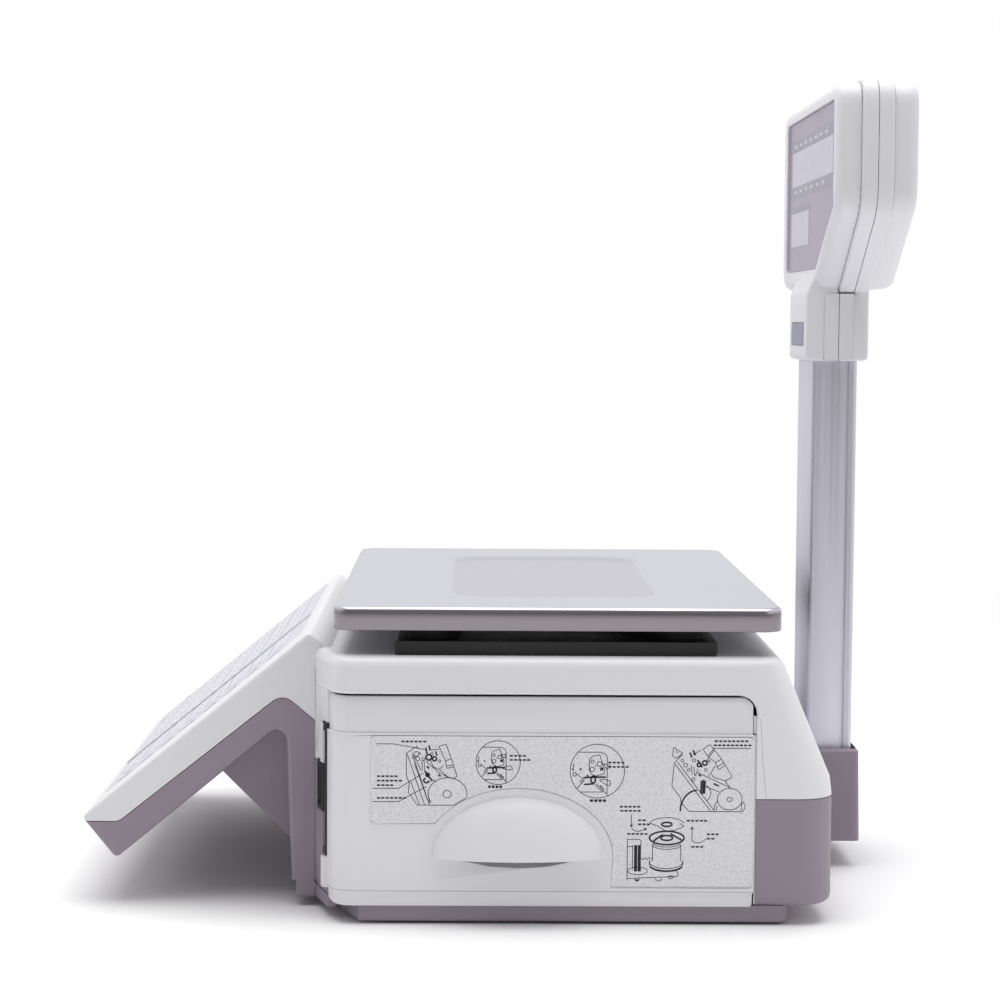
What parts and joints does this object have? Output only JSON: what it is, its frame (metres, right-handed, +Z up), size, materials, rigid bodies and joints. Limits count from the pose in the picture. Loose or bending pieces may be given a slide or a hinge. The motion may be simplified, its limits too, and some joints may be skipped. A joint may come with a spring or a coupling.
{
  "type": "retail price scale",
  "caption": "Label-printing retail price scale: steel platter, sloped membrane keyboard, pull-out printer drawer and a two-sided display head on a pole.",
  "frame": {"origin": "middle of the bounding box, on the counter under the feet", "axes": "+X towards the printer drawer, -Y towards the operator and the keyboard, +Y towards the pole, +Z up"},
  "size_m": [0.3866, 0.4558, 0.4535],
  "materials": {
    "white_abs": "fine matt grain, warm light grey white",
    "mauve_abs": "fine matt grain, mauve grey",
    "vial": "clear gloss",
    "aluminium": "milled",
    "cast_grey": "cast and painted",
    "black_steel": "satin black powder coat",
    "stainless": "satin, brushed along the width",
    "overlay_film": "satin printed film",
    "circuit_board": "green solder mask",
    "zinc_steel": "zinc plated",
    "black_plastic": "matt black",
    "anodised": "satin anodised extrusion",
    "tinted_window": "gloss, purple grey tint",
    "lcd_glass": "pale unlit display",
    "badge_film": "plain blue grey film",
    "label_film": "speckled light grey film with line drawings",
    "grey_plastic": "matt",
    "cardboard": "matt card",
    "label_paper": "coated label paper",
    "black_rubber": "matt",
    "gear_nylon": "natural acetal",
    "brass": "turned"
  },
  "bodies": {
    "housing": {"upper_housing": "white_abs", "lower_housing": "mauve_abs", "base_plate": "mauve_abs", "bubble_level": "vial", "load_cell": "aluminium", "load_cell_pedestal": "cast_grey", "load_cell_spacer": "aluminium", "platform_support": "black_steel", "platter_cup_1": "black_rubber", "platter_cup_2": "black_rubber", "platter_cup_3": "black_rubber", "platter_cup_4": "black_rubber", "hotkey_panel": "overlay_film", "keypad_panel": "overlay_film", "keyboard_board": "circuit_board", "main_board": "circuit_board", "power_supply": "zinc_steel", "power_inlet": "black_plastic", "switch_frame": "black_plastic", "connector_block": "zinc_steel", "pole_base": "mauve_abs", "pole": "anodised", "head_front_shell": "white_abs", "head_front_window": "tinted_window", "head_front_lcd": "lcd_glass", "head_rear_shell": "white_abs", "head_rear_window": "tinted_window", "head_rear_lcd": "lcd_glass", "head_board": "circuit_board", "head_badge": "badge_film", "drawer_rail_front": "zinc_steel", "drawer_rail_rear": "zinc_steel"},
    "platter": {"platter": "stainless"},
    "drawer": {"drawer_front": "white_abs", "instruction_label": "label_film", "drawer_tray": "black_plastic", "label_outlet_bezel": "black_plastic", "print_chassis": "zinc_steel", "drive_motor": "black_steel", "paper_sensor": "black_plastic"},
    "label_supply": {"roll_spindle": "grey_plastic", "roll_core": "cardboard", "label_roll": "label_paper"},
    "paper_lock": {"paper_lock": "black_plastic"},
    "platen": {"platen_roller": "black_rubber", "platen_gear": "gear_nylon"},
    "idler": {"idler_gear": "gear_nylon"},
    "pinion": {"motor_pinion": "brass"},
    "take_up": {"take_up_spindle": "black_plastic", "take_up_gear": "gear_nylon"},
    "print_head": {"head_bracket": "zinc_steel", "thermal_head": "black_plastic"},
    "release_lever": {"release_lever": "mauve_abs"},
    "power_rocker": {"power_rocker": "black_plastic"},
    "foot_1": {"levelling_foot_1": "black_rubber"},
    "foot_2": {"levelling_foot_2": "black_rubber"},
    "foot_3": {"levelling_foot_3": "black_rubber"},
    "foot_4": {"levelling_foot_4": "black_rubber"}
  },
  "joints": [
    {"name": "drawer_slide", "type": "slide", "parent": "housing", "child": "drawer", "axis": [1, 0, 0], "range_m": [0, 0.105]},
    {"name": "platter_lift_off", "type": "slide", "parent": "housing", "child": "platter", "axis": [0, 0, 1], "range_m": [0, 0.06]},
    {"name": "roll_turn", "type": "hinge", "parent": "drawer", "child": "label_supply", "pos_m": [0.1123, 0.06789, 0.06], "axis": [0, 0, 1], "continuous": true},
    {"name": "paper_lock_turn", "type": "hinge", "parent": "label_supply", "child": "paper_lock", "pos_m": [0.1123, 0.06789, 0.09], "axis": [0, 0, 1], "range_deg": [0, 60]},
    {"name": "platen_turn", "type": "hinge", "parent": "drawer", "child": "platen", "pos_m": [0.1448, -0.06791, 0.06], "axis": [0, 0, 1], "continuous": true},
    {"name": "idler_turn", "type": "hinge", "parent": "drawer", "child": "idler", "pos_m": [0.1179, -0.05591, 0.101], "axis": [0, 0, 1], "continuous": true},
    {"name": "pinion_turn", "type": "hinge", "parent": "drawer", "child": "pinion", "pos_m": [0.0961, -0.05811, 0.101], "axis": [0, 0, 1], "continuous": true},
    {"name": "take_up_turn", "type": "hinge", "parent": "drawer", "child": "take_up", "pos_m": [0.1053, -0.02771, 0.06], "axis": [0, 0, 1], "continuous": true},
    {"name": "release_lever_turn", "type": "hinge", "parent": "drawer", "child": "release_lever", "pos_m": [0.1663, -0.05811, 0.095], "axis": [0, 0, 1], "range_deg": [0, 45]},
    {"name": "print_head_open", "type": "hinge", "parent": "drawer", "child": "print_head", "pos_m": [0.1648, -0.03511, 0.058], "axis": [0, 0, 1], "range_deg": [0, 15]},
    {"name": "power_rocker_tilt", "type": "hinge", "parent": "housing", "child": "power_rocker", "pos_m": [-0.1847, 0.10699, 0.039], "axis": [0, 1, 0], "range_deg": [0, 10]},
    {"name": "foot_1_screw", "type": "hinge", "parent": "housing", "child": "foot_1", "pos_m": [-0.1557, -0.05211, 0.005], "axis": [0, 0, 1], "continuous": true},
    {"name": "foot_2_screw", "type": "hinge", "parent": "housing", "child": "foot_2", "pos_m": [0.1443, -0.05211, 0.005], "axis": [0, 0, 1], "continuous": true},
    {"name": "foot_3_screw", "type": "hinge", "parent": "housing", "child": "foot_3", "pos_m": [-0.1557, 0.12989, 0.005], "axis": [0, 0, 1], "continuous": true},
    {"name": "foot_4_screw", "type": "hinge", "parent": "housing", "child": "foot_4", "pos_m": [0.1443, 0.12989, 0.005], "axis": [0, 0, 1], "continuous": true}
  ],
  "couplings": [
    {"joint": "idler_turn", "follows": "platen_turn", "ratio": -0.85714},
    {"joint": "pinion_turn", "follows": "platen_turn", "ratio": 2.25},
    {"joint": "take_up_turn", "follows": "platen_turn", "ratio": 0.9},
    {"joint": "print_head_open", "follows": "release_lever_turn", "ratio": 0.3333}
  ]
}
